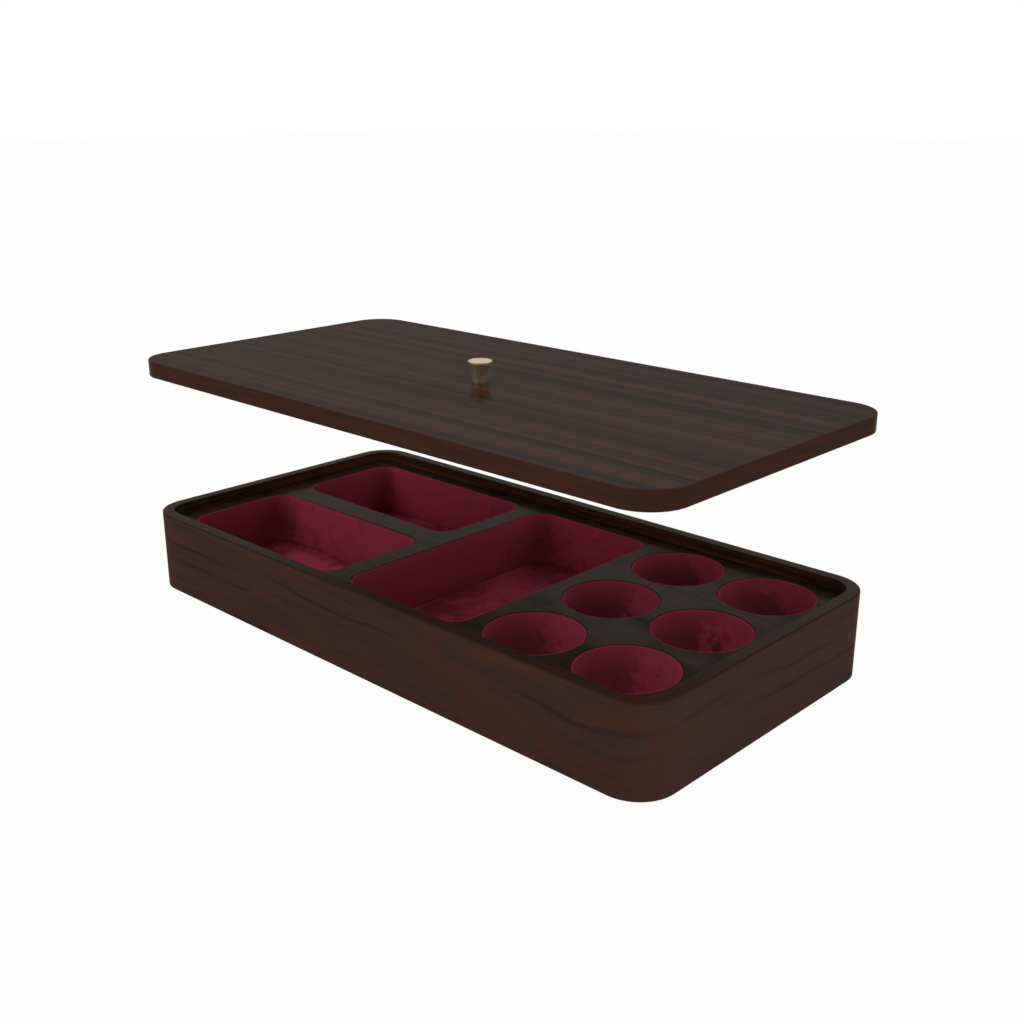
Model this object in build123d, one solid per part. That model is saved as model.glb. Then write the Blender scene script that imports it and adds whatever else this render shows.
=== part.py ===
"""Cufflink display box: a shallow walnut case with rounded corners, three velvet-lined
trays and six velvet-lined cups under a flat lift-off lid with a small brass knob.

Units are millimetres.  The origin is the centre of the footprint on the surface that the
box stands on, +X runs along the length, +Y towards the back and +Z up.  The lid is drawn
lifted off, straight above the case.
"""

from build123d import *
import os

# ---------------------------------------------------------------- case
case_length = 320.0
case_width = 160.0
case_height = 40.0
corner_radius = 17.5
wall_thickness = 6.0
rim_outer_round = 0.8
rim_inner_round = 0.5
foot_round = 0.4

# base: a panel in a rebate, with baize glued on, a little proud of the walls
felt_thickness = 1.2
felt_proud = 0.2
felt_inset = 1.5
base_thickness = 5.0
rebate_width = 2.5

# ---------------------------------------------------------------- deck and cut-outs
rim_depth = 5.45             # top of the rim down to the deck
deck_thickness = 4.0
deck_clearance = 0.15        # all round, between deck or blocks and the walls
deck_edge_round = 0.25
cutout_corner_radius = 10.0

tray_end_margin = 9.1        # wall to the short trays' cut-outs, along X
tray_side_margin = 7.7       # wall to every tray's cut-out, along Y
tray_gap = 13.3              # between the two short trays
cross_bar_width = 10.5       # between the short trays and the long tray
cup_bar_width = 7.1          # between the long tray and the cups
short_tray_share = 0.6045    # of the length that the trays share

cup_columns = 2
cup_rows = 3
cup_end_margin = 6.65        # wall to the last column's cut-outs, along X
cup_side_margin = 4.0        # wall to the outer rows' cut-outs, along Y
cup_column_gap = 4.8
cup_row_gap = 5.95
cup_straight_depth = 2.0     # straight mouth above the hemisphere

# ---------------------------------------------------------------- linings
velvet_thickness = 0.8
lining_drop = 0.2            # deck surface down to the lining's top edge
lining_edge_round = 0.25
glue_gap = 0.05              # glue line behind every lining
pad_board_thickness = 1.0
pad_velvet_thickness = 0.9
pad_edge_gap = 0.1           # floor pad to wall lining
pad_edge_round = 0.35

# ---------------------------------------------------------------- lid
lid_thickness = 8.0
lid_edge_round = 0.5
lid_lift = 70.0              # rim up to the lid, as drawn
liner_clearance = 0.6        # locating liner to the rim's inner faces
liner_board_thickness = 1.2
liner_velvet_thickness = 0.8
liner_velvet_inset = 0.5
liner_edge_round = 0.3

# ---------------------------------------------------------------- knob
knob_base_diameter = 7.0
knob_neck_diameter = 9.9     # under the cap
knob_cap_diameter = 10.9
knob_cap_thickness = 1.1
knob_height = 9.4
knob_base_flare = 0.08       # radius gained per millimetre of height at the base
knob_neck_flare = 0.26       # and at the neck
knob_edge_round = 0.3
stud_diameter = 4.0
stud_depth_in_knob = 6.0
stud_hole_clearance = 0.1
stud_head_diameter = 8.0
stud_head_height = 2.2
stud_head_sunk = 0.3         # head below the lid's lower face
stud_slot_width = 1.0
stud_slot_depth = 0.9

# ---------------------------------------------------------------- levels and outlines
base_bottom = felt_thickness
base_top = base_bottom + base_thickness
rim_top = case_height
deck_top = rim_top - rim_depth
deck_bottom = deck_top - deck_thickness
lining_top = deck_top - lining_drop
cup_centre = deck_top - cup_straight_depth
lid_bottom = rim_top + lid_lift
lid_top = lid_bottom + lid_thickness

inner_length = case_length - 2 * wall_thickness
inner_width = case_width - 2 * wall_thickness
inner_radius = corner_radius - wall_thickness

# the cups fill the width between the walls, and the trays share the length that they leave
cup_diameter = (inner_width - 2 * cup_side_margin - (cup_rows - 1) * cup_row_gap) / cup_rows
cup_radius = cup_diameter / 2
cup_pitch_x = cup_diameter + cup_column_gap
cup_pitch_y = cup_diameter + cup_row_gap
last_column_x = inner_length / 2 - cup_end_margin - cup_radius
first_column_x = last_column_x - (cup_columns - 1) * cup_pitch_x

trays_end_x = first_column_x - cup_radius - cup_bar_width
trays_start_x = -inner_length / 2 + tray_end_margin
shared_length = trays_end_x - trays_start_x - cross_bar_width
tray_length = shared_length * short_tray_share
tray_width = (inner_width - 2 * tray_side_margin - tray_gap) / 2
long_tray_width = shared_length - tray_length
long_tray_length = inner_width - 2 * tray_side_margin
short_tray_x = trays_start_x + tray_length / 2
short_tray_y = (tray_gap + tray_width) / 2
long_tray_x = trays_end_x - long_tray_width / 2

# the blocks under the deck meet in the middle of the bars between the cut-outs
left_joint_x = trays_start_x + tray_length + cross_bar_width / 2
right_joint_x = trays_end_x + cup_bar_width / 2

# name of each tray: centre x, centre y, length along X, length along Y
trays = {
    "rear_tray": (short_tray_x, short_tray_y, tray_length, tray_width),
    "front_tray": (short_tray_x, -short_tray_y, tray_length, tray_width),
    "long_tray": (long_tray_x, 0.0, long_tray_width, long_tray_length),
}

# name of each cup: centre x, centre y, column, row
cups = {
    f"cup_{column * cup_rows + row + 1}": (
        first_column_x + column * cup_pitch_x,
        ((cup_rows - 1) / 2 - row) * cup_pitch_y, column, row)
    for column in range(cup_columns) for row in range(cup_rows)
}


# ---------------------------------------------------------------- shapes
def slab(length, width, radius, bottom, top, x=0.0, y=0.0):
    """A plate with rounded corners between two levels."""
    outline = Pos(x, y, bottom) * RectangleRounded(length, width, radius)
    return extrude(outline, top - bottom)


def edges_at(shape, level):
    """The edges of a shape that lie in one horizontal plane."""
    return [e for e in shape.edges() if abs(e.bounding_box().min.Z - level) < 1e-4
            and abs(e.bounding_box().max.Z - level) < 1e-4]


def box_between(low_x, high_x, low_y, high_y, bottom, top):
    centre = Pos((low_x + high_x) / 2, (low_y + high_y) / 2, (bottom + top) / 2)
    return centre * Box(high_x - low_x, high_y - low_y, top - bottom)


def inside(edges, length, width):
    """Those edges that lie within a rectangle about the centre of the plan."""
    boxes = [(e, e.bounding_box()) for e in edges]
    return [e for e, b in boxes if b.max.X - b.min.X < length + 0.01
            and max(abs(b.min.X), abs(b.max.X)) < length / 2 + 0.01
            and max(abs(b.min.Y), abs(b.max.Y)) < width / 2 + 0.01]


def bowl(radius, top, x, y):
    """A hemisphere below a straight round mouth, as a solid plug."""
    depth = top - cup_centre
    quarter = CenterArc((0, 0), radius, -90, 90)
    sides = Polyline((radius, 0), (radius, depth), (0, depth), (0, -radius))
    return Pos(x, y, cup_centre) * revolve(make_face(Plane.XZ * (quarter + sides)), Axis.Z)


def countersunk(diameter, head_diameter, head_height, length, bottom):
    """A countersunk screw or its hole on the lid's axis: head at the bottom, shank up."""
    head = Cone(head_diameter / 2, diameter / 2, head_height,
                align=(Align.CENTER, Align.CENTER, Align.MIN))
    shank = Cylinder(diameter / 2, length, align=(Align.CENTER, Align.CENTER, Align.MIN))
    return Pos(0, 0, bottom) * (head + shank)


# ---------------------------------------------------------------- case and base
def make_case():
    """The surround, in one piece, with a rebate for the base."""
    outer = slab(case_length, case_width, corner_radius, felt_proud, rim_top)
    outer = fillet(edges_at(outer, rim_top), rim_outer_round)
    outer = fillet(edges_at(outer, felt_proud), foot_round)
    ring = outer - slab(inner_length, inner_width, inner_radius, felt_proud, rim_top)
    ring = fillet(inside(edges_at(ring, rim_top), inner_length, inner_width), rim_inner_round)
    return ring - slab(inner_length + 2 * rebate_width, inner_width + 2 * rebate_width,
                       inner_radius + rebate_width, felt_proud, base_top)


def make_base():
    panel_growth = rebate_width - deck_clearance
    felt_growth = rebate_width - felt_inset
    panel = slab(inner_length + 2 * panel_growth, inner_width + 2 * panel_growth,
                 inner_radius + panel_growth, base_bottom, base_top)
    felt = slab(inner_length + 2 * felt_growth, inner_width + 2 * felt_growth,
                inner_radius + felt_growth, 0.0, felt_thickness)
    return panel, felt


# ---------------------------------------------------------------- blocks and deck
def tray_plug(name, inset, bottom, top):
    """The solid that would fill a tray's cut-out, drawn in by an inset all round."""
    x, y, along_x, along_y = trays[name]
    return slab(along_x - 2 * inset, along_y - 2 * inset,
                cutout_corner_radius - inset, bottom, top, x, y)


def block_between(low_x, high_x, low_y, high_y):
    """A part of the filling under the deck."""
    whole = slab(inner_length - 2 * deck_clearance, inner_width - 2 * deck_clearance,
                 inner_radius - deck_clearance, base_top, deck_bottom)
    return whole & box_between(low_x, high_x, low_y, high_y, base_top, deck_bottom)


def make_blocks():
    """Blocks that carry the deck and back the linings, one for each cup."""
    low_x, high_x = -case_length / 2, case_length / 2
    low_y, high_y = -case_width / 2, case_width / 2
    left = block_between(low_x, left_joint_x, low_y, high_y)
    for name in ("rear_tray", "front_tray"):
        left -= tray_plug(name, 0.0, base_top, deck_bottom)
    centre = block_between(left_joint_x, right_joint_x, low_y, high_y)
    centre -= tray_plug("long_tray", 0.0, base_top, deck_bottom)
    blocks = {"short_tray_block": left, "long_tray_block": centre}
    for name, (x, y, column, row) in cups.items():
        from_x = right_joint_x if column == 0 else x - cup_pitch_x / 2
        to_x = high_x if column == cup_columns - 1 else x + cup_pitch_x / 2
        from_y = low_y if row == cup_rows - 1 else y - cup_pitch_y / 2
        to_y = high_y if row == 0 else y + cup_pitch_y / 2
        block = block_between(from_x, to_x, from_y, to_y)
        blocks[f"{name}_block"] = block - bowl(cup_radius, deck_top, x, y)
    return blocks


def make_deck():
    deck = slab(inner_length - 2 * deck_clearance, inner_width - 2 * deck_clearance,
                inner_radius - deck_clearance, deck_bottom, deck_top)
    for name in trays:
        deck -= tray_plug(name, 0.0, deck_bottom, deck_top)
    for x, y, column, row in cups.values():
        deck -= Pos(x, y, (deck_bottom + deck_top) / 2) * Cylinder(cup_radius, deck_thickness)
    mouths = inside(edges_at(deck, deck_top), inner_length - 1, inner_width - 1)
    return fillet(mouths, deck_edge_round)


# ---------------------------------------------------------------- linings
def make_tray_lining(name):
    """A velvet strip round the tray's walls, standing on the base."""
    back = tray_plug(name, glue_gap, base_top, lining_top)
    face = tray_plug(name, glue_gap + velvet_thickness, base_top, lining_top)
    strip = back - face
    return fillet(edges_at(strip, lining_top), lining_edge_round)


def make_tray_floor(name):
    """A board and its velvet, dropped in between the wall linings."""
    inset = glue_gap + velvet_thickness + pad_edge_gap
    board_top = base_top + pad_board_thickness
    velvet_top = board_top + pad_velvet_thickness
    board = tray_plug(name, inset, base_top, board_top)
    velvet = tray_plug(name, inset, board_top, velvet_top)
    return board, fillet(edges_at(velvet, velvet_top), pad_edge_round)


def make_cup_lining(x, y):
    back_radius = cup_radius - glue_gap
    face = bowl(back_radius - velvet_thickness, lining_top, x, y)
    cup = bowl(back_radius, lining_top, x, y) - face
    return fillet(edges_at(cup, lining_top), lining_edge_round)


# ---------------------------------------------------------------- lid
def make_lid():
    panel = slab(case_length, case_width, corner_radius, lid_bottom, lid_top)
    panel = fillet(edges_at(panel, lid_top) + edges_at(panel, lid_bottom), lid_edge_round)
    panel -= countersunk(stud_diameter + 2 * stud_hole_clearance,
                         stud_head_diameter + 2 * stud_hole_clearance, stud_head_height,
                         lid_thickness, lid_bottom + stud_head_sunk)
    panel -= Pos(0, 0, lid_bottom) * Cylinder(
        stud_head_diameter / 2 + stud_hole_clearance, stud_head_sunk,
        align=(Align.CENTER, Align.CENTER, Align.MIN))

    liner_length = inner_length - 2 * liner_clearance
    liner_width = inner_width - 2 * liner_clearance
    liner_radius = inner_radius - liner_clearance
    board_bottom = lid_bottom - liner_board_thickness
    board = slab(liner_length, liner_width, liner_radius, board_bottom, lid_bottom)
    velvet_bottom = board_bottom - liner_velvet_thickness
    velvet = slab(liner_length - 2 * liner_velvet_inset, liner_width - 2 * liner_velvet_inset,
                  liner_radius - liner_velvet_inset, velvet_bottom, board_bottom)
    return panel, board, fillet(edges_at(velvet, velvet_bottom), liner_edge_round)


def make_knob():
    """A turned knob that widens up to a thin cap, and its screw through the lid."""
    cap_radius = knob_cap_diameter / 2
    base = (knob_base_diameter / 2, 0)
    neck = (knob_neck_diameter / 2, knob_height - knob_cap_thickness)
    side = Spline(base, neck, tangents=((knob_base_flare, 1.0), (knob_neck_flare, 1.0)))
    rest = Polyline(neck, (cap_radius, neck[1]), (cap_radius, knob_height), (0, knob_height),
                    (0, 0), base)
    knob = revolve(make_face(Plane.XZ * (side + rest)), Axis.Z)
    knob = fillet(edges_at(knob, knob_height), knob_edge_round)
    knob -= Cylinder(stud_diameter / 2 + glue_gap, stud_depth_in_knob,
                     align=(Align.CENTER, Align.CENTER, Align.MIN))
    knob = Pos(0, 0, lid_top) * knob

    head_bottom = lid_bottom + stud_head_sunk
    stud_length = lid_top + stud_depth_in_knob - head_bottom - stud_head_sunk
    stud = countersunk(stud_diameter, stud_head_diameter, stud_head_height, stud_length,
                       head_bottom)
    stud -= box_between(-stud_head_diameter, stud_head_diameter, -stud_slot_width / 2,
                        stud_slot_width / 2, lid_bottom, head_bottom + stud_slot_depth)
    return knob, stud


# ---------------------------------------------------------------- the whole box
parts = {"case_frame": make_case()}
parts["base_panel"], parts["base_felt"] = make_base()
parts.update(make_blocks())
parts["deck_panel"] = make_deck()
for tray in trays:
    parts[f"{tray}_wall_lining"] = make_tray_lining(tray)
    parts[f"{tray}_floor_board"], parts[f"{tray}_floor_velvet"] = make_tray_floor(tray)
for cup, (cup_x, cup_y, cup_column, cup_row) in cups.items():
    parts[f"{cup}_lining"] = make_cup_lining(cup_x, cup_y)
parts["lid_panel"], parts["lid_liner_board"], parts["lid_liner_velvet"] = make_lid()
parts["knob"], parts["knob_screw"] = make_knob()

os.makedirs("parts", exist_ok=True)
for name, shape in parts.items():
    export_step(shape, f"parts/{name}.step")
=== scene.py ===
import math

import bmesh
import bpy
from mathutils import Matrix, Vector, noise


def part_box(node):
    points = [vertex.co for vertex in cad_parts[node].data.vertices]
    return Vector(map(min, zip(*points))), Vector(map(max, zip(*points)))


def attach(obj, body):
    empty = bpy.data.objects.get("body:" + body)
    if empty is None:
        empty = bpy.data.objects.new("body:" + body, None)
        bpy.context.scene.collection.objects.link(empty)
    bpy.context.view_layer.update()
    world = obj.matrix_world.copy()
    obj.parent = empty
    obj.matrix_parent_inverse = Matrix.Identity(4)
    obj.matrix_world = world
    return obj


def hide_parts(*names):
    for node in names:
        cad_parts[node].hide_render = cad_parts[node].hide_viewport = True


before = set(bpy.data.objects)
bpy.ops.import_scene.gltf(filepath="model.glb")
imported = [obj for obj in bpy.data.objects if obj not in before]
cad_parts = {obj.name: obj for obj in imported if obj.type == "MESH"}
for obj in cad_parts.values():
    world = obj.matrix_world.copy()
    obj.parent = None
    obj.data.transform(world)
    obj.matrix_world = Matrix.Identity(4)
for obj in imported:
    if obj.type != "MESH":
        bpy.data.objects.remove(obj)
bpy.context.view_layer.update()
scene = bpy.context.scene
MM = 0.001

# ------------------------------------------------------------------ camera
CAMERA_PLACE = (0.38634, -0.38651, 0.24165)
CAMERA_AZIMUTH = 43.4885     # degrees round from the front, towards the cups
CAMERA_ELEVATION = 18.8132   # degrees above the table
FOCAL_PIXELS = 1235.077
IMAGE_PIXELS = 1024
SENSOR_WIDTH = 36

camera_data = bpy.data.cameras.new("camera")
camera_data.sensor_width = SENSOR_WIDTH
camera_data.lens = FOCAL_PIXELS / IMAGE_PIXELS * SENSOR_WIDTH
camera_data.clip_start = 0.01
camera_data.clip_end = 50
camera = bpy.data.objects.new("camera", camera_data)
camera.rotation_euler = (math.radians(90 - CAMERA_ELEVATION), 0, math.radians(CAMERA_AZIMUTH))
camera.location = CAMERA_PLACE
scene.collection.objects.link(camera)
scene.camera = camera


# ------------------------------------------------------------------ node helpers
class Nodes:
    """A node tree with short ways to add and join its nodes."""

    def __init__(self, tree):
        self.tree = tree

    def add(self, kind, **settings):
        node = self.tree.nodes.new(kind)
        for key, value in settings.items():
            setattr(node, key, value)
        return node

    def join(self, source, target):
        self.tree.links.new(source, target)

    def feed(self, socket, value):
        """Joins a socket to another node's output, or sets it to a plain value."""
        if isinstance(value, bpy.types.NodeSocket):
            self.join(value, socket)
        else:
            socket.default_value = value

    def math(self, operation, *values):
        node = self.add("ShaderNodeMath", operation=operation)
        for socket, value in zip(node.inputs, values):
            self.feed(socket, value)
        return node.outputs[0]

    def plus(self, first, second):
        return self.math("ADD", first, second)

    def minus(self, first, second):
        return self.math("SUBTRACT", first, second)

    def times(self, first, *others):
        for value in others:
            first = self.math("MULTIPLY", first, value)
        return first

    def vectors(self, operation, first, second):
        """The outputs of an operation on two vectors."""
        node = self.add("ShaderNodeVectorMath", operation=operation)
        self.feed(node.inputs[0], first)
        self.feed(node.inputs[1], second)
        return node.outputs

    def separate(self, vector):
        """A vector's X, Y and Z, in that order and by name."""
        node = self.add("ShaderNodeSeparateXYZ")
        self.join(vector, node.inputs[0])
        return node.outputs

    def combine(self, *axes):
        """A vector from its X, Y and Z."""
        node = self.add("ShaderNodeCombineXYZ")
        for socket, value in zip(node.inputs, axes):
            self.feed(socket, value)
        return node.outputs[0]

    def mapped(self, vector, scale=(1, 1, 1), location=(0, 0, 0)):
        node = self.add("ShaderNodeMapping")
        self.feed(node.inputs["Vector"], vector)
        node.inputs["Scale"].default_value = scale
        node.inputs["Location"].default_value = location
        return node.outputs[0]

    def noise(self, vector, scale, detail=2.0, roughness=0.5, output="Fac"):
        node = self.add("ShaderNodeTexNoise")
        self.feed(node.inputs["Vector"], vector)
        self.feed(node.inputs["Scale"], scale)
        node.inputs["Detail"].default_value = detail
        node.inputs["Roughness"].default_value = roughness
        return node.outputs[output]

    def ramp(self, value, low, high, out_low=0.0, out_high=1.0):
        """A smooth step from out_low, below low, to out_high, above high."""
        node = self.add("ShaderNodeMapRange", interpolation_type="SMOOTHSTEP")
        self.feed(node.inputs["Value"], value)
        self.feed(node.inputs["From Min"], low)
        self.feed(node.inputs["From Max"], high)
        self.feed(node.inputs["To Min"], out_low)
        self.feed(node.inputs["To Max"], out_high)
        return node.outputs["Result"]

    def mix(self, factor, first, second, kind="RGBA"):
        node = self.add("ShaderNodeMix", data_type=kind)
        self.feed(node.inputs["Factor"], factor)
        self.feed(node.inputs["A"], first)
        self.feed(node.inputs["B"], second)
        return node.outputs["Result"]


def srgb(red, green, blue):
    """A screen colour from 0 to 255 as a linear RGBA value."""
    parts = [c / 255 for c in (red, green, blue)]
    linear = [c / 12.92 if c <= 0.04045 else ((c + 0.055) / 1.055) ** 2.4 for c in parts]
    return (*linear, 1.0)


FLOAT, COLOR, VECTOR = "NodeSocketFloat", "NodeSocketColor", "NodeSocketVector"


def new_group(name, colors, amounts, masks):
    """A shader node group: a vector, colours and amounts go in, a colour and masks come out."""
    tree = bpy.data.node_groups.new(name, "ShaderNodeTree")
    inputs = {"Vector": VECTOR, **dict.fromkeys(colors, COLOR), **dict.fromkeys(amounts, FLOAT)}
    outputs = {"Color": COLOR, **dict.fromkeys(masks, FLOAT)}
    for direction, sockets in (("INPUT", inputs), ("OUTPUT", outputs)):
        for label, kind in sockets.items():
            tree.interface.new_socket(name=label, in_out=direction, socket_type=kind)
    nodes = Nodes(tree)
    return tree, nodes, nodes.add("NodeGroupInput").outputs, nodes.add("NodeGroupOutput").inputs


def use_group(nodes, tree, vector, **values):
    node = nodes.add("ShaderNodeGroup", node_tree=tree)
    nodes.join(vector, node.inputs["Vector"])
    for label, value in values.items():
        nodes.feed(node.inputs[label.replace("_", " ")], value)
    return node.outputs


def new_material(name):
    """A material, its nodes, its Principled shader and the place on the piece."""
    material = bpy.data.materials.new(name)
    material.use_nodes = True
    nodes = Nodes(material.node_tree)
    shader = material.node_tree.nodes["Principled BSDF"]
    place = nodes.add("ShaderNodeTexCoord").outputs["Object"]
    return material, nodes, shader, place


def add_bump(nodes, shader, height, strength, distance):
    bump = nodes.add("ShaderNodeBump")
    bump.inputs["Strength"].default_value = strength
    bump.inputs["Distance"].default_value = distance
    nodes.join(height, bump.inputs["Height"])
    nodes.join(bump.outputs[0], shader.inputs["Normal"])


# ------------------------------------------------------------------ walnut
def walnut_figure_group():
    """Walnut's figure, grain along the vector's X: soft bands, thin dark veins with a halo,
    light streaks, fine flecks and pores."""
    tree, nodes, given, out = new_group(
        "walnut_figure", colors=("Base", "Band", "Vein", "Streak"),
        amounts=("Bands", "Veins", "Streaks", "Flecks", "Stretch", "Band Scale", "Spacing",
                 "Wander"),
        masks=("Dark", "Pore"))
    place = given["Vector"]

    # the grain wanders from side to side along its length
    x, y, z = nodes.separate(place)
    flow = nodes.noise(nodes.mapped(place, (1, 1.5, 1.5)), 11.0, detail=2.5)
    y = nodes.plus(y, nodes.times(nodes.minus(flow, 0.5), given["Wander"], 4.0))
    along = nodes.combine(nodes.times(x, given["Stretch"]), y, z)
    band = nodes.noise(along, given["Band Scale"], detail=2.5, roughness=0.55)
    band = nodes.ramp(band, 0.42, 0.62)
    streak = nodes.noise(nodes.mapped(along, (0.5, 1, 1), (0.3, 0.9, 0.2)),
                         nodes.times(given["Band Scale"], 1.7), detail=1.5)
    streak = nodes.ramp(streak, 0.54, 0.68)

    # a vein is the dark end of a growth ring; some rings are faint, and all come and go
    field = nodes.math("DIVIDE", nodes.plus(y, nodes.times(z, 0.55)), given["Spacing"])
    ring = nodes.math("FRACT", field)
    ring_number = nodes.add("ShaderNodeTexWhiteNoise", noise_dimensions="1D")
    nodes.feed(ring_number.inputs["W"], nodes.math("FLOOR", field))
    chosen = nodes.ramp(ring_number.outputs["Value"], 0.15, 0.45, 0.4, 1.0)
    fade = nodes.noise(nodes.mapped(place, (1, 6, 6), (9, 3, 5)), 15.0, detail=1.5)
    fade = nodes.times(nodes.ramp(fade, 0.44, 0.58), chosen)
    sharp = nodes.ramp(ring, 0.78, 0.94, 1.0, 0.0)
    core = nodes.times(nodes.ramp(ring, 0.6, 0.8), sharp, fade)
    halo = nodes.times(nodes.ramp(ring, 0.1, 0.75), sharp, fade)

    fleck = nodes.noise(nodes.mapped(place, (0.08, 1, 1), (1.7, 2.7, 0.9)), 700.0, detail=2,
                        roughness=0.6)
    fine = nodes.noise(nodes.mapped(place, (0.05, 1, 1), (1.3, 5.1, 2.6)), 1900.0, detail=2,
                       roughness=0.7)
    pore = nodes.ramp(fine, 0.60, 0.74)

    fleck = nodes.times(nodes.ramp(fleck, 0.5, 0.75, 0.0, 0.3), given["Flecks"])
    color = nodes.mix(nodes.times(band, given["Bands"]), given["Base"], given["Band"])
    for amount, layer in ((nodes.times(streak, given["Streaks"]), "Streak"),
                          (nodes.times(halo, given["Veins"], 0.5), "Band"),
                          (nodes.times(core, given["Veins"]), "Vein"),
                          (fleck, "Vein"),
                          (nodes.times(pore, given["Flecks"], 0.25), "Vein")):
        color = nodes.mix(amount, color, given[layer])
    nodes.join(color, out["Color"])
    nodes.join(core, out["Dark"])
    nodes.join(pore, out["Pore"])
    return tree


WALNUT = walnut_figure_group()


def figure(nodes, vector, colors, offset=(0, 0, 0), **amounts):
    """The walnut figure in four colours: base, band, vein and streak."""
    base, band, vein, streak = colors
    return use_group(nodes, WALNUT, nodes.mapped(vector, location=offset), Base=base, Band=band,
                     Vein=vein, Streak=streak, **amounts)


CASE_TOP_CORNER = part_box("case_frame")[1]
RIM_TOP = CASE_TOP_CORNER[2]
OUTLINE_CORNER = 17.5 * MM
OUTLINE_HALF = (CASE_TOP_CORNER[0] - OUTLINE_CORNER, CASE_TOP_CORNER[1] - OUTLINE_CORNER)


def round_the_outline(nodes, place):
    """Coordinates that run round case or lid as edge grain does: along, up and outwards.

    Outwards is also given by itself. It is 0 within the corners' centres and grows to the
    corner's radius at the outer face."""
    x, y, z = nodes.separate(place)
    half_x, half_y = OUTLINE_HALF
    core_x = nodes.math("MAXIMUM", nodes.math("MINIMUM", x, half_x), -half_x)
    core_y = nodes.math("MAXIMUM", nodes.math("MINIMUM", y, half_y), -half_y)
    out_x = nodes.math("ABSOLUTE", nodes.minus(x, core_x))
    out_y = nodes.math("ABSOLUTE", nodes.minus(y, core_y))
    turn = nodes.times(nodes.math("ARCTAN2", out_x, out_y), OUTLINE_CORNER)
    near = nodes.plus(nodes.math("ABSOLUTE", core_x), turn)
    far = nodes.minus(2 * half_x + math.pi * OUTLINE_CORNER, near)
    behind = nodes.math("GREATER_THAN", y, 0.0)
    length = nodes.plus(nodes.times(nodes.minus(1.0, behind), near), nodes.times(behind, far))
    length = nodes.plus(length, nodes.plus(core_y, half_y))
    along = nodes.times(length, nodes.math("SIGN", x))
    outwards = nodes.math("SQRT", nodes.plus(nodes.times(out_x, out_x),
                                             nodes.times(out_y, out_y)))
    return nodes.combine(along, z, outwards), outwards


def finish_wood(nodes, shader, color, wood, roughness, gloss):
    """Colour, a roughness that is higher on dark veins, a low gloss and open pores."""
    nodes.join(color, shader.inputs["Base Color"])
    rough = nodes.plus(roughness, nodes.times(wood["Dark"], 0.08))
    nodes.join(rough, shader.inputs["Roughness"])
    shader.inputs["Specular IOR Level"].default_value = gloss
    add_bump(nodes, shader, nodes.minus(1.0, wood["Pore"]), 0.12, 0.2 * MM)


# each row is a base, a band, a vein and a streak colour
SIDE_COLORS = (srgb(63, 40, 31), srgb(49, 37, 34), srgb(34, 27, 29), srgb(71, 44, 31))
RIM_COLORS = (srgb(63, 36, 21), srgb(41, 23, 14), srgb(27, 15, 10), srgb(90, 52, 27))
DECK_COLORS = (srgb(46, 30, 22), srgb(34, 24, 20), srgb(25, 18, 14), srgb(62, 40, 26))
LID_COLORS = (srgb(51, 30, 21), srgb(30, 22, 20), srgb(25, 19, 18), srgb(76, 41, 22))
EDGE_COLORS = (srgb(58, 35, 26), srgb(50, 33, 27), srgb(34, 24, 22), srgb(66, 40, 28))

# where one colour passes into the next, painted light and shade included; wall, reflection band
# and lipping are measured outwards
INNER_WALL = (11.8 * MM, 12.2 * MM)
LIT_END_SPAN = (144 * MM, 158 * MM)
SHADED_RIM_SPAN = (RIM_TOP - 1.2 * MM, RIM_TOP - 0.4 * MM)
CUP_END = (30 * MM, 70 * MM)
FRONT_STRIP = (-60 * MM, -30 * MM)
RIM_REFLECTION_BAND = (1 * MM, 9 * MM)
STRIPES_GROW = (-140 * MM, 100 * MM)
LIPPING = (16.9 * MM, 17.2 * MM)


def case_wood():
    """Satin walnut whose figure runs round the case; darker and warmer inside the rim, partly its
    fine grain and partly a painted reflection, with painted shade on the rim's top and painted
    light towards the +X end.
    """
    material, nodes, shader, place = new_material("walnut_case")
    axes = nodes.separate(place)
    around, outwards = round_the_outline(nodes, place)
    side = figure(nodes, around, SIDE_COLORS, offset=(0.02, -0.0004, 0.0), Bands=0.6,
                  Veins=0.6, Streaks=0.3, Flecks=1.0, Stretch=0.13, Band_Scale=110.0,
                  Spacing=0.0096, Wander=0.006)
    rim = figure(nodes, around, RIM_COLORS, Bands=0.8, Veins=0.6, Streaks=0.5, Flecks=1.0,
                 Stretch=0.04, Band_Scale=420.0, Spacing=0.004, Wander=0.0003)
    # painted light: the sides turn paler towards the +X end, as if more light fell there
    painted_end_light = nodes.ramp(axes["X"], *LIT_END_SPAN, 0.0, 0.12)
    outside = nodes.mix(painted_end_light, side["Color"], srgb(92, 68, 60))
    # inside the rim: fine grain with a warmer tone that is partly a painted reflection
    color = nodes.mix(nodes.ramp(outwards, *INNER_WALL, 1.0, 0.0), outside, rim["Color"])
    # painted shade: the rim's top and its rounded outer edge turn dark brown, standing in for the
    # shadow and reflection of the lid above
    top = nodes.ramp(axes["Z"], *SHADED_RIM_SPAN)
    color = nodes.mix(top, color, nodes.mix(0.75, rim["Color"], srgb(43, 29, 23)))
    finish_wood(nodes, shader, color, side, nodes.ramp(top, 0.0, 1.0, 0.42, 0.26), gloss=0.03)
    return material


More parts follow.
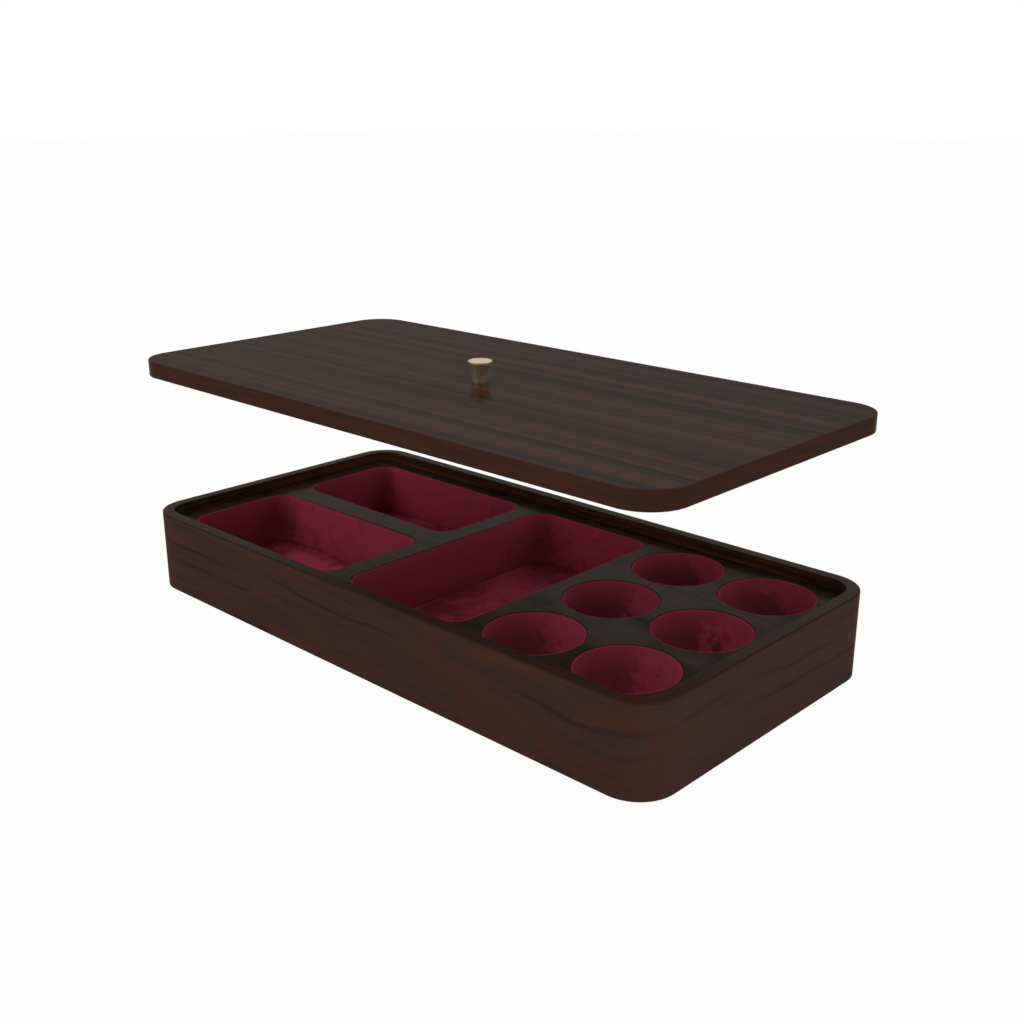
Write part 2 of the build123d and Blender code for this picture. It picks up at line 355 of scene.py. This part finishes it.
def deck_wood():
    """Polished walnut with short soft streaks along X.

    Darker and duller clouds between the cups are painted shade, and warmer ones along the front
    rim are a painted reflection of the rim's inner wall."""
    material, nodes, shader, place = new_material("walnut_deck")
    axes = nodes.separate(place)
    wood = figure(nodes, place, DECK_COLORS, Bands=0.8, Veins=0.4, Streaks=0.4, Flecks=0.3,
                  Stretch=0.16, Band_Scale=150.0, Spacing=0.012, Wander=0.003)
    cup_end = nodes.ramp(axes["X"], *CUP_END)
    # painted shade: darker clouds among the cups, with a duller gloss
    cloud = nodes.noise(nodes.mapped(place, (0.6, 1, 1), (0.3, 0.2, 0)), 48.0, detail=2)
    cloud = nodes.times(cup_end, nodes.ramp(cloud, 0.34, 0.7))
    color = nodes.mix(nodes.times(cloud, 0.5), wood["Color"], srgb(20, 14, 11))
    outwards = round_the_outline(nodes, place)[1]
    near_rim = nodes.ramp(outwards, *RIM_REFLECTION_BAND)
    near_front = nodes.ramp(axes["Y"], *FRONT_STRIP, 1.0, 0.0)
    # painted reflection: the deck near the front rim is warmed, as if it mirrored the rim's inner
    # wall
    rim_reflection = nodes.noise(nodes.mapped(place, (0.5, 1, 1), (0.7, 0.1, 0)), 60.0, detail=0)
    rim_reflection = nodes.times(near_front, cup_end, nodes.times(nodes.ramp(rim_reflection, 0.36, 0.6), near_rim))
    color = nodes.mix(nodes.times(rim_reflection, 0.8), color, srgb(78, 46, 26))
    matte = nodes.math("MAXIMUM", cloud, rim_reflection)
    finish_wood(nodes, shader, color, wood, nodes.ramp(matte, 0.0, 1.0, 0.2, 0.36), gloss=0.031)
    return material


def lid_wood():
    """Straight-grained walnut with grey, brown and orange stripes; its edges are lipped.

    The stripes grow stronger towards the +X end."""
    material, nodes, shader, place = new_material("walnut_lid")
    strength = nodes.ramp(nodes.separate(place)["X"], *STRIPES_GROW, 0.5, 0.9)
    face = figure(nodes, place, LID_COLORS, Bands=strength, Veins=0.0, Streaks=0.5, Flecks=0.4,
                  Stretch=0.008, Band_Scale=125.0, Spacing=0.014, Wander=0.0012)
    around, outwards = round_the_outline(nodes, place)
    edge = figure(nodes, around, EDGE_COLORS, Bands=0.6, Veins=0.3, Streaks=0.3, Flecks=1.0,
                  Stretch=0.1, Band_Scale=300.0, Spacing=0.007, Wander=0.001)
    color = nodes.mix(nodes.ramp(outwards, *LIPPING), face["Color"], edge["Color"])
    finish_wood(nodes, shader, color, face, roughness=0.14, gloss=0.02)
    return material


# ------------------------------------------------------------------ velvet
NAP_SHAPE = (0.75, 0.75, 1.0)


def nap_and_light_group():
    """Velvet pile with painted light: a lit and a shaded tone with a mottled border, smudges and
    fine fibre.

    The lit tone is painted where the surface faces the painted light direction beyond the
    threshold, and noise frays the border."""
    tree, nodes, given, out = new_group(
        "nap_and_painted_light", colors=("Deep", "Lit", "Smudge"),
        amounts=("Lay", "Threshold", "Fray", "Patch Scale"), masks=("Height",))
    place = nodes.mapped(given["Vector"], NAP_SHAPE)
    shift = nodes.add("ShaderNodeVectorMath", operation="SCALE")
    nodes.join(nodes.noise(place, 110.0, output="Color"), shift.inputs[0])
    shift.inputs["Scale"].default_value = 0.008
    warped = nodes.vectors("ADD", place, shift.outputs[0])["Vector"]

    patches = nodes.noise(warped, given["Patch Scale"], detail=4, roughness=0.6)
    frayed = nodes.plus(given["Lay"], nodes.times(nodes.minus(patches, 0.5), given["Fray"]))
    lit = nodes.ramp(nodes.minus(frayed, given["Threshold"]), -0.16, 0.16)
    color = nodes.mix(lit, given["Deep"], given["Lit"])

    cloud = nodes.noise(nodes.mapped(place, location=(0.4, 0.1, 0.7)), 38.0, detail=2)
    color = nodes.mix(nodes.ramp(cloud, 0.4, 0.7, 0.0, 0.35), color, given["Deep"])
    smudged = nodes.ramp(nodes.noise(place, 26.0, detail=1), 0.44, 0.6)
    smudge = nodes.ramp(nodes.noise(warped, 170.0, detail=2), 0.5, 0.72)
    color = nodes.mix(nodes.times(smudge, smudged, 0.5), color, given["Smudge"])
    fibre = nodes.noise(given["Vector"], 2600.0, detail=2, roughness=0.7)
    color = nodes.mix(nodes.ramp(fibre, 0.35, 0.7, 0.0, 0.18), color, given["Lit"])
    nodes.join(color, out["Color"])
    nodes.join(nodes.plus(nodes.times(patches, 0.6), nodes.times(fibre, 0.4)), out["Height"])
    return tree


NAP_AND_LIGHT = nap_and_light_group()
# the direction of the painted light on the velvet: surfaces that face it get the lit colour
PAINTED_LIGHT_DIRECTION = (-0.8, -0.6, 0.0)
LINING_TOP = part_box("cup_1_lining")[1][2]
RIM_LIGHT_DEPTH = 12 * MM

# a painted pool of light on the front short tray's floor
LIGHT_POOL_PLACE = (-99 * MM, -23 * MM, 0.0)
LIGHT_POOL_SHAPE = (0.5, 1.0, 0.0)
LIGHT_POOL_EDGE = (8 * MM, 13 * MM)
LIGHT_POOL_FRAY = 16 * MM
LIGHT_POOL_COLOR = srgb(178, 63, 87)


def light_pool_mask(nodes, place):
    """A mask for the painted pool of light, an oval with a frayed edge."""
    centre = [along * shape for along, shape in zip(LIGHT_POOL_PLACE, LIGHT_POOL_SHAPE)]
    apart = nodes.vectors("DISTANCE", nodes.mapped(place, LIGHT_POOL_SHAPE), centre)["Value"]
    fray = nodes.minus(nodes.noise(place, 90.0, detail=3), 0.5)
    apart = nodes.plus(apart, nodes.times(fray, LIGHT_POOL_FRAY))
    return nodes.ramp(apart, *LIGHT_POOL_EDGE, 0.9, 0.0)


def velvet(name, deep, lit, smudge, patch_scale, threshold, fray=2.0, rim_light=0.0,
           with_light_pool=False):
    """Crushed velvet with painted light: walls that face the painted light direction get the lit
    colour, and a painted highlight lightens the top edge.

    Only a piece that asks for it has the painted pool of light."""
    material, nodes, shader, place = new_material(name)
    normal = nodes.add("ShaderNodeTexCoord").outputs["Normal"]
    # painted light: how far the surface faces the painted light direction picks the lit colour
    # over the shaded one
    light_facing = nodes.vectors("DOT_PRODUCT", normal, PAINTED_LIGHT_DIRECTION)["Value"]
    nap = use_group(nodes, NAP_AND_LIGHT, place, Lay=light_facing, Threshold=threshold, Deep=deep, Lit=lit,
                    Smudge=smudge, Patch_Scale=patch_scale, Fray=fray)
    height = nodes.separate(place)["Z"]
    # painted highlight: the velvet turns towards the lit colour near its top edge
    near_top = nodes.ramp(height, LINING_TOP - RIM_LIGHT_DEPTH, LINING_TOP, 0.0, rim_light)
    color = nodes.mix(near_top, nap["Color"], lit)
    # painted light: a brighter oval pool on the floor
    if with_light_pool:
        color = nodes.mix(light_pool_mask(nodes, place), color, LIGHT_POOL_COLOR)
    nodes.join(color, shader.inputs["Base Color"])
    shader.inputs["Roughness"].default_value = 0.95
    shader.inputs["Specular IOR Level"].default_value = 0.1
    shader.inputs["Sheen Weight"].default_value = 0.25
    shader.inputs["Sheen Roughness"].default_value = 0.4
    shader.inputs["Sheen Tint"].default_value = srgb(190, 70, 90)
    add_bump(nodes, shader, nap["Height"], 0.35, 0.6 * MM)
    return material


# ------------------------------------------------------------------ board, metals and baize
KNOB_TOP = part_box("knob")[1][2]


def core_board():
    """Raw pressed board: short fibres and a cloudy tone."""
    material, nodes, shader, place = new_material("core_board")
    fibre = nodes.noise(nodes.mapped(place, (0.3, 1, 1)), 900.0, detail=3, roughness=0.7)
    cloud = nodes.noise(place, 60.0, detail=2)
    tone = nodes.mix(nodes.ramp(cloud, 0.3, 0.7), srgb(120, 88, 60), srgb(140, 104, 72))
    tone = nodes.mix(nodes.ramp(fibre, 0.4, 0.7, 0.0, 0.5), tone, srgb(96, 66, 44))
    nodes.join(tone, shader.inputs["Base Color"])
    shader.inputs["Roughness"].default_value = 0.8
    add_bump(nodes, shader, fibre, 0.3, 0.2 * MM)
    return material


def brass():
    """Satin lathe-turned brass under lacquer: fine rings, faint tarnish, and a paler flat top that
    is a painted highlight.
    """
    material, nodes, shader, place = new_material("satin_brass")
    height = nodes.separate(place)["Z"]
    rings = nodes.noise(nodes.combine(0.0, 0.0, height), 9000.0, detail=2, roughness=0.6)
    tarnish = nodes.noise(place, 260.0, detail=3)
    tone = nodes.mix(nodes.ramp(tarnish, 0.35, 0.75), srgb(222, 206, 170), srgb(202, 184, 144))
    # painted highlight: the flat top is paler, as if it mirrored the bright sky
    top = nodes.ramp(height, KNOB_TOP - 0.4 * MM, KNOB_TOP - 0.1 * MM)
    tone = nodes.mix(top, tone, srgb(212, 197, 176))
    nodes.join(tone, shader.inputs["Base Color"])
    shader.inputs["Metallic"].default_value = 1.0
    rough = nodes.plus(nodes.ramp(rings, 0.3, 0.7, 0.36, 0.48), nodes.times(top, 0.15))
    nodes.join(rough, shader.inputs["Roughness"])
    add_bump(nodes, shader, rings, 0.08, 0.1 * MM)
    return material


def screw_steel():
    """Zinc-plated steel with a faint haze."""
    material, nodes, shader, place = new_material("screw_steel")
    haze = nodes.noise(place, 800.0, detail=3)
    tone = nodes.mix(nodes.ramp(haze, 0.3, 0.7), srgb(168, 168, 164), srgb(196, 196, 192))
    nodes.join(tone, shader.inputs["Base Color"])
    shader.inputs["Metallic"].default_value = 1.0
    nodes.join(nodes.ramp(haze, 0.3, 0.7, 0.3, 0.45), shader.inputs["Roughness"])
    return material


def baize():
    """Pressed dark red baize with paler fibres."""
    material, nodes, shader, place = new_material("base_baize")
    fibre = nodes.noise(place, 2400.0, detail=3, roughness=0.7)
    cloud = nodes.noise(place, 70.0, detail=3)
    tone = nodes.mix(nodes.ramp(cloud, 0.3, 0.7), srgb(52, 22, 26), srgb(66, 28, 32))
    tone = nodes.mix(nodes.ramp(fibre, 0.4, 0.75, 0.0, 0.5), tone, srgb(92, 46, 50))
    nodes.join(tone, shader.inputs["Base Color"])
    shader.inputs["Roughness"].default_value = 1.0
    shader.inputs["Sheen Weight"].default_value = 0.3
    add_bump(nodes, shader, fibre, 0.6, 0.4 * MM)
    return material


# ------------------------------------------------------------------ the carried-over CAD nodes
def paint(node_name, material):
    """Gives a CAD node its only material."""
    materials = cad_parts[node_name].data.materials
    materials.clear()
    materials.append(material)


paint("case_frame", case_wood())
paint("deck_panel", deck_wood())
paint("lid_panel", lid_wood())
tray_velvet = velvet("velvet_tray", deep=srgb(122, 41, 57), lit=srgb(142, 49, 67),
                     smudge=srgb(82, 25, 38), patch_scale=80.0, threshold=0.42, rim_light=0.4)
floor_velvet = velvet("velvet_floor", deep=srgb(107, 35, 51), lit=srgb(148, 54, 73),
                      smudge=srgb(86, 27, 40), patch_scale=66.0, threshold=0.0, with_light_pool=True)
cup_velvet = velvet("velvet_cup", deep=srgb(91, 30, 42), lit=srgb(134, 47, 63),
                    smudge=srgb(56, 15, 24), patch_scale=120.0, threshold=0.3, fray=2.4,
                    rim_light=0.7)
board = core_board()
paint("knob", brass())
paint("knob_screw", screw_steel())
base_baize = baize()
paint("base_panel", board)
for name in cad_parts:
    if name.endswith("_block") or name.endswith("_board"):
        paint(name, board)

# ------------------------------------------------------------------ soft pieces
VELVET = 0.8 * MM
GLUE_LINE = 0.05 * MM
LINING_INSET = 0.95 * MM
CUTOUT_RADIUS = 10 * MM
LINER_RADIUS = 10.9 * MM
BAIZE_RADIUS = 12.5 * MM
LINING_EDGE = 0.28 * MM
PAD_EDGE = 0.45 * MM
BAIZE_EDGE = 0.3 * MM
CORNER_STEPS = 10
WALL_CUTS = 9
SAME_LEVEL = 0.01 * MM       # two heights closer than this are one level
EVEN_STRIP = 1 * MM          # next to its edges a lining stays even
PAD_FACE = 0.05 * MM         # points this near a pad's face level lie on its face
PAD_RISE = 5 * MM            # a pad grows uneven over this distance from its edge


def finish_piece(name, work, material, body, slot, *nodes):
    """Writes a bmesh out as a piece that rides on a body and stands for CAD nodes."""
    bmesh.ops.recalc_face_normals(work, faces=work.faces)
    for face in work.faces:
        face.smooth = True
    mesh = bpy.data.meshes.new(name)
    work.to_mesh(mesh)
    work.free()
    mesh.materials.append(material)
    piece = bpy.data.objects.new(name, mesh)
    scene.collection.objects.link(piece)
    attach(piece, body)
    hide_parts(*nodes)
    return piece


def middle(low, high):
    """The middle of a box, seen from above."""
    return (low[0] + high[0]) / 2, (low[1] + high[1]) / 2


def rounded_plate(low, high, radius, level, spacing=3 * MM):
    """A bmesh with one face: a rectangle with rounded corners, its long edges divided."""
    work = bmesh.new()
    bmesh.ops.create_grid(work, x_segments=1, y_segments=1, size=0.5)
    bmesh.ops.scale(work, vec=(high[0] - low[0], high[1] - low[1], 1), verts=work.verts)
    bmesh.ops.translate(work, vec=(*middle(low, high), level), verts=work.verts)
    bmesh.ops.bevel(work, geom=list(work.verts), offset=radius, offset_type="OFFSET",
                    segments=CORNER_STEPS, profile=0.5, affect="VERTICES", material=-1)
    for edge in [e for e in work.edges if e.calc_length() > 2 * spacing]:
        cuts = int(edge.calc_length() / spacing)
        bmesh.ops.subdivide_edges(work, edges=[edge], cuts=cuts)
    return work


def rounded_cloth(low, high, radius, level, spacing):
    """A grid cut to a rectangle with rounded corners: its outer points slide onto the arcs."""
    half = Vector(((high[0] - low[0]) / 2, (high[1] - low[1]) / 2))
    work = bmesh.new()
    bmesh.ops.create_grid(work, x_segments=int(2 * half.x / spacing),
                          y_segments=int(2 * half.y / spacing), size=0.5)
    bmesh.ops.scale(work, vec=(2 * half.x, 2 * half.y, 1), verts=work.verts)
    for vert in work.verts:
        over = Vector((abs(vert.co.x) - half.x + radius, abs(vert.co.y) - half.y + radius))
        if over.x > 0 and over.y > 0:
            arc = over.normalized() * max(over.x, over.y)
            vert.co.x = math.copysign(half.x - radius + arc.x, vert.co.x)
            vert.co.y = math.copysign(half.y - radius + arc.y, vert.co.y)
    bmesh.ops.translate(work, vec=(*middle(low, high), level), verts=work.verts)
    return work


def raise_sheet(work, height):
    """Turns a flat bmesh into a solid of this height."""
    raised = bmesh.ops.extrude_face_region(work, geom=list(work.faces))
    moved = [item for item in raised["geom"] if isinstance(item, bmesh.types.BMVert)]
    bmesh.ops.translate(work, vec=(0, 0, height), verts=moved)


def edges_at(work, level):
    """The edges at a level where a flat face meets an upright one."""
    return [edge for edge in work.edges
            if all(abs(vert.co.z - level) < SAME_LEVEL for vert in edge.verts)
            and any(abs(face.normal.z) < 0.5 for face in edge.link_faces)]


def soften(work, edges, radius, segments):
    """Rounds edges over."""
    bmesh.ops.bevel(work, geom=edges, offset=radius, offset_type="OFFSET", segments=segments,
                    profile=0.5, affect="EDGES", material=-1)


def ripple(place, *waves):
    """A smooth unevenness, in millimetres. Each wave is a frequency and a height."""
    return sum(noise.noise(place * frequency) * height for frequency, height in waves)


def wall_lining(name, node, radius):
    """Velvet glued round the walls of a tray, with a soft top edge and slight unevenness."""
    low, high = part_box(node)
    work = rounded_plate(low, high, radius, low[2])
    floor_face = list(work.faces)
    bmesh.ops.inset_region(work, faces=floor_face, thickness=VELVET, use_boundary=True,
                           use_even_offset=True)
    bmesh.ops.delete(work, geom=floor_face, context="FACES")
    raise_sheet(work, high[2] - low[2])
    uprights = [e for e in work.edges if abs(e.verts[0].co.z - e.verts[1].co.z) > SAME_LEVEL]
    bmesh.ops.subdivide_edges(work, edges=uprights, cuts=WALL_CUTS, use_grid_fill=True)
    soften(work, edges_at(work, high[2]), LINING_EDGE, segments=3)
    centre = Vector((*middle(low, high), 0))
    work.normal_update()
    for vert in work.verts:
        outward = (vert.co - centre) * Vector((1, 1, 0))
        inner = vert.normal.xy.dot(outward.xy) < 0
        if inner and low[2] + EVEN_STRIP < vert.co.z < high[2] - EVEN_STRIP:
            vert.co += vert.normal * ripple(vert.co, (70, 0.14), (190, 0.07)) * MM
    piece = finish_piece(name, work, tray_velvet, "box", "velvet", node)


def pad(name, low, high, radius, material, body, nodes, downward=False, spacing=3 * MM):
    """A thin board wrapped in velvet: a slightly uneven face, soft edges and a flat back."""
    face_level, back_level = (low[2], high[2]) if downward else (high[2], low[2])
    work = rounded_cloth(low, high, radius, back_level, spacing)
    raise_sheet(work, face_level - back_level)
    bmesh.ops.recalc_face_normals(work, faces=work.faces)
    soften(work, edges_at(work, face_level), PAD_EDGE, segments=4)
    half = ((high[0] - low[0]) / 2, (high[1] - low[1]) / 2)
    centre = middle(low, high)
    away = -1 if downward else 1
    for vert in work.verts:
        if abs(vert.co.z - face_level) < PAD_FACE:
            inset = min(half[0] - abs(vert.co.x - centre[0]), half[1] - abs(vert.co.y - centre[1]))
            rise = 1 - math.exp(-max(inset, 0) / PAD_RISE)
            vert.co.z += away * rise * ripple(vert.co, (55, 0.132), (160, 0.048)) * MM
    piece = finish_piece(name, work, material, body, "velvet", *nodes)


def cup_lining(name, node):
    """Velvet pressed into a round cup: a hemisphere with a short straight brim."""
    low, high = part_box(node)
    radius = (high[0] - low[0]) / 2
    centre = Vector((*middle(low, high), low[2] + radius))
    work = bmesh.new()
    bmesh.ops.create_uvsphere(work, u_segments=72, v_segments=36, radius=radius)
    bmesh.ops.translate(work, vec=centre, verts=work.verts)
    upper = [f for f in work.faces if f.calc_center_median().z > centre.z]
    bmesh.ops.delete(work, geom=upper, context="FACES")
    equator = [e for e in work.edges if len(e.link_faces) == 1]
    raised = bmesh.ops.extrude_edge_only(work, edges=equator)
    brim = [v for v in raised["geom"] if isinstance(v, bmesh.types.BMVert)]
    bmesh.ops.translate(work, vec=(0, 0, high[2] - centre.z), verts=brim)
    bmesh.ops.recalc_face_normals(work, faces=work.faces)
    bmesh.ops.solidify(work, geom=list(work.faces), thickness=VELVET)
    bmesh.ops.recalc_face_normals(work, faces=work.faces)
    soften(work, edges_at(work, high[2]), LINING_EDGE, segments=3)
    work.normal_update()
    for vert in work.verts:
        inner = vert.normal.dot(vert.co - centre) < 0
        if inner and vert.co.z < high[2] - EVEN_STRIP:
            vert.co += vert.normal * ripple(vert.co, (80, 0.16), (210, 0.08)) * MM
    piece = finish_piece(name, work, cup_velvet, "box", "velvet", node)


def base_lining():
    """Baize glued under the base."""
    felt_low, felt_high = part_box("base_felt")
    work = rounded_plate(felt_low, felt_high, BAIZE_RADIUS, felt_low[2], spacing=8 * MM)
    raise_sheet(work, felt_high[2] - felt_low[2])
    soften(work, [e for e in work.edges if abs(e.verts[0].co.z - e.verts[1].co.z) < SAME_LEVEL],
           BAIZE_EDGE, segments=2)
    felt = finish_piece("base_baize", work, base_baize, "box", "base_baize", "base_felt")


for tray in ("rear_tray", "front_tray", "long_tray"):
    wall_lining(f"{tray}_velvet_walls", f"{tray}_wall_lining", CUTOUT_RADIUS - GLUE_LINE)
    low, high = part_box(f"{tray}_floor_velvet")
    pad(f"{tray}_velvet_floor", low, high, CUTOUT_RADIUS - LINING_INSET, floor_velvet, "box",
        [f"{tray}_floor_velvet"])
for number in range(1, 7):
    cup_lining(f"cup_{number}_velvet", f"cup_{number}_lining")

# the lid's locating pad: velvet drawn round its board
board_low, board_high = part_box("lid_liner_board")
velvet_low, velvet_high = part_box("lid_liner_velvet")
pad("lid_liner_pad", (board_low[0], board_low[1], velvet_low[2]), board_high, LINER_RADIUS,
    tray_velvet, "lid", ["lid_liner_velvet", "lid_liner_board"], downward=True,
    spacing=5 * MM)
base_lining()

# ------------------------------------------------------------------ floor, backdrop and light
WORLD_LIGHT = 0.82
FLOOR_GLOSS, HORIZON_GLOSS, ZENITH_GLOSS = 0.3, 0.17, 1.0
GLOSS_FADE = (0.15, 0.5)     # heights in the sky between which its gloss grows
FLOOR_WHITE = 0.94           # share of plain white in the floor that the camera sees
FLOOR_COLOR = (0.9, 0.9, 0.9, 1)
FLOOR_SIZE = 6
AIM = (0, 0, 0.05)


def floor_paint():
    """Pale matt paint, which the camera and gloss see mostly as plain white."""
    material, nodes, shader = new_material("studio_floor")[:3]
    shader.inputs["Base Color"].default_value = FLOOR_COLOR
    shader.inputs["Roughness"].default_value = 1.0
    shader.inputs["Specular IOR Level"].default_value = 0.0
    rays = nodes.add("ShaderNodeLightPath").outputs
    white = nodes.add("ShaderNodeEmission")
    nodes.feed(white.inputs["Strength"],
               nodes.ramp(rays["Is Glossy Ray"], 0.0, 1.0, 1.0, FLOOR_GLOSS))
    seen = nodes.math("MAXIMUM", rays["Is Camera Ray"], rays["Is Glossy Ray"])
    blend = nodes.add("ShaderNodeMixShader")
    nodes.feed(blend.inputs["Fac"], nodes.times(seen, FLOOR_WHITE))
    nodes.join(shader.outputs[0], blend.inputs[1])
    nodes.join(white.outputs[0], blend.inputs[2])
    nodes.join(blend.outputs[0], material.node_tree.nodes["Material Output"].inputs["Surface"])
    return material


def studio_floor():
    work = bmesh.new()
    bmesh.ops.create_grid(work, x_segments=1, y_segments=1, size=FLOOR_SIZE)
    mesh = bpy.data.meshes.new("studio_floor")
    work.to_mesh(mesh)
    work.free()
    mesh.materials.append(floor_paint())
    floor = bpy.data.objects.new("studio_floor", mesh)
    scene.collection.objects.link(floor)


def studio_world():
    """White to the camera, and a soft sky that dims towards the horizon for gloss."""
    world = bpy.data.worlds.new("studio")
    world.use_nodes = True
    scene.world = world
    nodes = Nodes(world.node_tree)
    background = world.node_tree.nodes["Background"]
    rays = nodes.add("ShaderNodeLightPath").outputs
    height = nodes.separate(nodes.add("ShaderNodeTexCoord").outputs["Generated"])["Z"]
    gloss = nodes.ramp(height, *GLOSS_FADE, HORIZON_GLOSS, ZENITH_GLOSS)
    light = nodes.mix(rays["Is Glossy Ray"], WORLD_LIGHT, gloss, kind="FLOAT")
    seen = nodes.math("MAXIMUM", rays["Is Camera Ray"], rays["Is Transmission Ray"])
    nodes.join(nodes.mix(seen, light, 1.0, kind="FLOAT"), background.inputs["Strength"])
    background.inputs["Color"].default_value = (1, 1, 1, 1)


def softbox(name, place, size, power):
    data = bpy.data.lights.new(name, "AREA")
    data.shape = "SQUARE"
    data.size = size
    data.energy = power
    lamp = bpy.data.objects.new(name, data)
    lamp.location = place
    lamp.rotation_euler = (Vector(AIM) - Vector(place)).to_track_quat("-Z", "Y").to_euler()
    scene.collection.objects.link(lamp)


studio_floor()
studio_world()
softbox("key_light", (-0.9, -1.9, 1.3), size=1.6, power=16)
softbox("fill_light", (1.8, 0.6, 1.2), size=1.5, power=5)

scene.view_settings.view_transform = "Standard"
